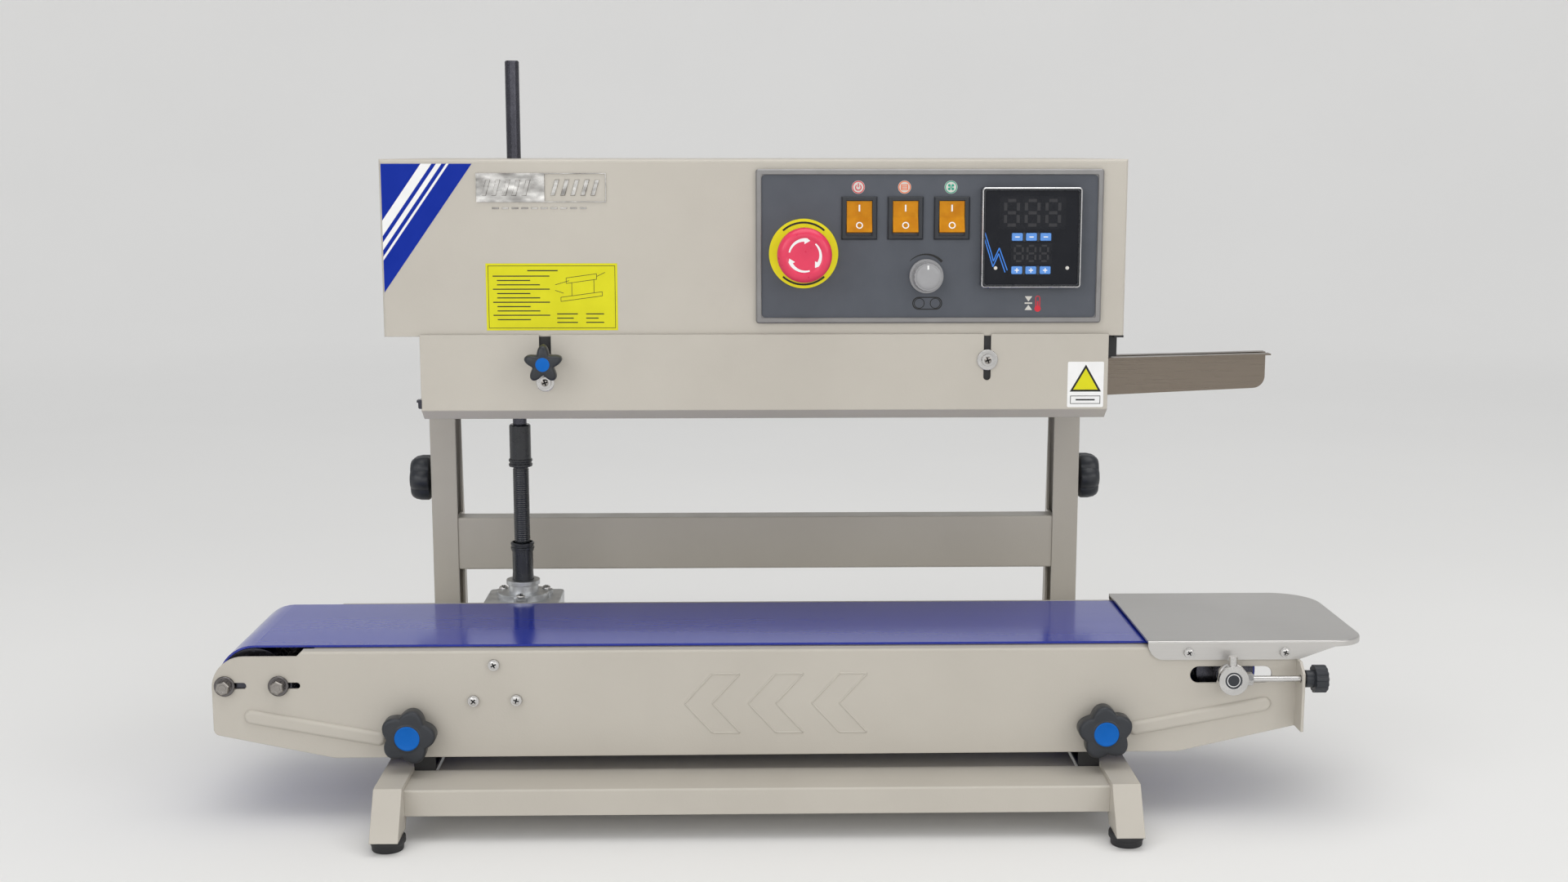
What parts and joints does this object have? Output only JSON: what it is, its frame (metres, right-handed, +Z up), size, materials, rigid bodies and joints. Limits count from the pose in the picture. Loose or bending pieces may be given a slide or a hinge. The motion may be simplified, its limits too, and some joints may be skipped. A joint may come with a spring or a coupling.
{
  "type": "continuous band sealer",
  "caption": "Benchtop continuous band sealer for upright bags: belt conveyor on a frame, and a head above it with sealing bands and a control panel.",
  "frame": {"origin": "on the floor under the middle of the machine's box", "axes": "+Z up, +X to the operator's right along the conveyor, -Y towards the operator"},
  "size_m": [0.8342, 0.366, 0.552],
  "materials": {
    "powder_coat": "satin powder coat, warm light grey",
    "belt_blue": "glossy blue conveyor belting",
    "stainless": "brushed stainless sheet",
    "panel_grey": "silver grey painted border",
    "black_plastic": "moulded black plastic",
    "amber_plastic": "translucent amber rocker",
    "red_plastic": "red push button",
    "yellow_plastic": "yellow ring",
    "grey_plastic": "grey knob",
    "blue_plastic": "blue keys",
    "rubber": "black rubber",
    "zinc": "die-cast zinc",
    "plated_steel": "bright zinc plated steel",
    "dark_steel": "blackened steel",
    "gear_steel": "machined steel",
    "aluminium": "machined aluminium",
    "ptfe": "brown glass-cloth sealing band",
    "motor_paint": "dark grey paint",
    "black_paint": "black paint"
  },
  "bodies": {
    "base": {"foot_channels": "powder_coat", "rubber_feet": "rubber", "base_front_crossbar": "powder_coat", "base_deck_plate": "powder_coat", "columns": "powder_coat", "column_crossbar": "powder_coat", "conveyor_supports": "black_paint"},
    "left_lock": {"left_lock_knob": "black_plastic"},
    "right_lock": {"right_lock_knob": "black_plastic"},
    "head": {"hanger_legs": "dark_steel", "head_housing": "powder_coat", "head_base_plate": "black_paint", "head_rear_cover": "powder_coat", "cord_gland": "black_plastic", "front_guard": "powder_coat", "head_fasteners": "plated_steel", "control_panel": "panel_grey", "switch_bezels": "black_plastic", "estop_collar": "yellow_plastic", "controller_case": "black_plastic", "seal_bands": "ptfe", "sealing_blocks": "aluminium", "drive_motor": "motor_paint", "bag_guide": "stainless"},
    "power_switch": {"rocker_power": "amber_plastic"},
    "heat_switch": {"rocker_heat": "amber_plastic"},
    "fan_switch": {"rocker_fan": "amber_plastic"},
    "estop": {"estop_button": "red_plastic"},
    "speed_dial": {"speed_knob": "grey_plastic"},
    "minus_1": {"minus_key_1": "blue_plastic"},
    "minus_2": {"minus_key_2": "blue_plastic"},
    "minus_3": {"minus_key_3": "blue_plastic"},
    "plus_1": {"plus_key_1": "blue_plastic"},
    "plus_2": {"plus_key_2": "blue_plastic"},
    "plus_3": {"plus_key_3": "blue_plastic"},
    "pressure": {"pressure_knob": "black_plastic"},
    "wheel_front_left": {"band_wheel_front_left": "gear_steel"},
    "wheel_rear_left": {"band_wheel_rear_left": "gear_steel"},
    "wheel_front_right": {"band_wheel_front_right": "gear_steel"},
    "wheel_rear_right": {"band_wheel_rear_right": "gear_steel"},
    "head_gear": {"shaft_gear": "gear_steel"},
    "press_front": {"press_wheel_front": "gear_steel"},
    "press_rear": {"press_wheel_rear": "gear_steel"},
    "conveyor": {"conveyor_front_plate": "powder_coat", "conveyor_rear_plate": "powder_coat", "slider_bed": "stainless", "conveyor_belt": "belt_blue", "feed_tray": "stainless", "gearbox_housing": "zinc", "conveyor_fasteners": "plated_steel"},
    "end_carriage": {"end_roller_bracket": "dark_steel"},
    "end_roll": {"end_roller": "dark_steel"},
    "drive_roll": {"drive_roller": "dark_steel"},
    "tension_slide": {"tension_carriage": "plated_steel"},
    "tension_roll": {"tension_roller": "dark_steel"},
    "tension_screw": {"tension_knob": "black_plastic"},
    "shaft": {"flexible_coupling": "rubber", "drive_shaft": "dark_steel"},
    "left_clamp": {"left_clamp_knob": "black_plastic"},
    "right_clamp": {"right_clamp_knob": "black_plastic"}
  },
  "joints": [
    {"name": "head_lift", "type": "slide", "parent": "base", "child": "head", "axis": [0, 0, 1], "range_m": [-0.03, 0.06]},
    {"name": "conveyor_lift", "type": "slide", "parent": "base", "child": "conveyor", "axis": [0, 0, 1], "range_m": [0, 0.025]},
    {"name": "left_lock_turn", "type": "hinge", "parent": "base", "child": "left_lock", "pos_m": [-0.295, 0.128, 0.212], "axis": [-1, 0, 0], "range_deg": [0, 720]},
    {"name": "right_lock_turn", "type": "hinge", "parent": "base", "child": "right_lock", "pos_m": [0.245, 0.128, 0.212], "axis": [1, 0, 0], "range_deg": [0, 720]},
    {"name": "left_clamp_turn", "type": "hinge", "parent": "conveyor", "child": "left_clamp", "pos_m": [-0.2754, -0.119, 0.0685], "axis": [0, -1, 0], "range_deg": [0, 720]},
    {"name": "right_clamp_turn", "type": "hinge", "parent": "conveyor", "child": "right_clamp", "pos_m": [0.2254, -0.119, 0.0685], "axis": [0, -1, 0], "range_deg": [0, 720]},
    {"name": "pressure_turn", "type": "hinge", "parent": "head", "child": "pressure", "pos_m": [-0.1782, -0.08, 0.3318], "axis": [0, -1, 0], "range_deg": [-360, 360]},
    {"name": "power_rocker", "type": "hinge", "parent": "head", "child": "power_switch", "pos_m": [0.0491, -0.063, 0.4349], "axis": [1, 0, 0], "range_deg": [0, 18]},
    {"name": "heat_rocker", "type": "hinge", "parent": "head", "child": "heat_switch", "pos_m": [0.0824, -0.063, 0.4349], "axis": [1, 0, 0], "range_deg": [0, 18]},
    {"name": "fan_rocker", "type": "hinge", "parent": "head", "child": "fan_switch", "pos_m": [0.1159, -0.063, 0.4349], "axis": [1, 0, 0], "range_deg": [0, 18]},
    {"name": "estop_press", "type": "slide", "parent": "head", "child": "estop", "axis": [0, 1, 0], "range_m": [0, 0.004]},
    {"name": "speed_turn", "type": "hinge", "parent": "head", "child": "speed_dial", "pos_m": [0.0979, -0.067, 0.3932], "axis": [0, 1, 0], "range_deg": [-150, 150]},
    {"name": "minus_key_1_press", "type": "slide", "parent": "head", "child": "minus_1", "axis": [0, 1, 0], "range_m": [0, 0.0006], "stiffness_N_per_m": 800},
    {"name": "minus_key_2_press", "type": "slide", "parent": "head", "child": "minus_2", "axis": [0, 1, 0], "range_m": [0, 0.0006], "stiffness_N_per_m": 800},
    {"name": "minus_key_3_press", "type": "slide", "parent": "head", "child": "minus_3", "axis": [0, 1, 0], "range_m": [0, 0.0006], "stiffness_N_per_m": 800},
    {"name": "plus_key_1_press", "type": "slide", "parent": "head", "child": "plus_1", "axis": [0, 1, 0], "range_m": [0, 0.0006], "stiffness_N_per_m": 800},
    {"name": "plus_key_2_press", "type": "slide", "parent": "head", "child": "plus_2", "axis": [0, 1, 0], "range_m": [0, 0.0006], "stiffness_N_per_m": 800},
    {"name": "plus_key_3_press", "type": "slide", "parent": "head", "child": "plus_3", "axis": [0, 1, 0], "range_m": [0, 0.0006], "stiffness_N_per_m": 800},
    {"name": "drive_roller_spin", "type": "hinge", "parent": "conveyor", "child": "drive_roll", "pos_m": [-0.214, 0, 0.1004], "axis": [0, 1, 0], "continuous": true},
    {"name": "end_roller_adjust", "type": "slide", "parent": "conveyor", "child": "end_carriage", "axis": [1, 0, 0], "range_m": [0, 0.012]},
    {"name": "end_roller_spin", "type": "hinge", "parent": "end_carriage", "child": "end_roll", "pos_m": [-0.3885, 0, 0.103], "axis": [0, 1, 0], "continuous": true},
    {"name": "tension_knob_turn", "type": "hinge", "parent": "conveyor", "child": "tension_screw", "pos_m": [0.3761, -0.127, 0.1075], "axis": [1, 0, 0], "range_deg": [-3600, 0]},
    {"name": "tension_adjust", "type": "slide", "parent": "conveyor", "child": "tension_slide", "axis": [1, 0, 0], "range_m": [-0.008, 0]},
    {"name": "tension_roller_spin", "type": "hinge", "parent": "tension_slide", "child": "tension_roll", "pos_m": [0.3161, 0, 0.1075], "axis": [0, 1, 0], "continuous": true},
    {"name": "shaft_spin", "type": "hinge", "parent": "conveyor", "child": "shaft", "pos_m": [-0.214, 0.06, 0.2], "axis": [0, 0, 1], "continuous": true},
    {"name": "head_gear_spin", "type": "hinge", "parent": "head", "child": "head_gear", "pos_m": [-0.214, 0.06, 0.37], "axis": [0, 0, 1], "continuous": true},
    {"name": "band_wheel_front_left_spin", "type": "hinge", "parent": "head", "child": "wheel_front_left", "pos_m": [-0.23525, -0.0447, 0.318], "axis": [0, 0, 1], "continuous": true},
    {"name": "band_wheel_rear_left_spin", "type": "hinge", "parent": "head", "child": "wheel_rear_left", "pos_m": [-0.23525, -0.0113, 0.318], "axis": [0, 0, 1], "continuous": true},
    {"name": "band_wheel_front_right_spin", "type": "hinge", "parent": "head", "child": "wheel_front_right", "pos_m": [0.19, -0.0447, 0.318], "axis": [0, 0, 1], "continuous": true},
    {"name": "band_wheel_rear_right_spin", "type": "hinge", "parent": "head", "child": "wheel_rear_right", "pos_m": [0.19, -0.0113, 0.318], "axis": [0, 0, 1], "continuous": true},
    {"name": "press_wheel_front_spin", "type": "hinge", "parent": "head", "child": "press_front", "pos_m": [-0.1782, -0.0447, 0.318], "axis": [0, 0, 1], "continuous": true},
    {"name": "press_wheel_rear_spin", "type": "hinge", "parent": "head", "child": "press_rear", "pos_m": [-0.1782, -0.0113, 0.318], "axis": [0, 0, 1], "continuous": true}
  ],
  "couplings": [
    {"joint": "end_roller_spin", "follows": "drive_roller_spin", "ratio": 0.86667},
    {"joint": "tension_roller_spin", "follows": "drive_roller_spin", "ratio": 1.046},
    {"joint": "shaft_spin", "follows": "drive_roller_spin", "ratio": -1},
    {"joint": "head_gear_spin", "follows": "drive_roller_spin", "ratio": -1},
    {"joint": "band_wheel_rear_left_spin", "follows": "drive_roller_spin", "ratio": 1.4},
    {"joint": "band_wheel_front_left_spin", "follows": "drive_roller_spin", "ratio": -1.4},
    {"joint": "band_wheel_rear_right_spin", "follows": "drive_roller_spin", "ratio": 1.4},
    {"joint": "band_wheel_front_right_spin", "follows": "drive_roller_spin", "ratio": -1.4},
    {"joint": "press_wheel_rear_spin", "follows": "drive_roller_spin", "ratio": 1.5066},
    {"joint": "press_wheel_front_spin", "follows": "drive_roller_spin", "ratio": -1.5066},
    {"joint": "tension_knob_turn", "follows": "tension_adjust", "rad_per_m": 7854}
  ]
}
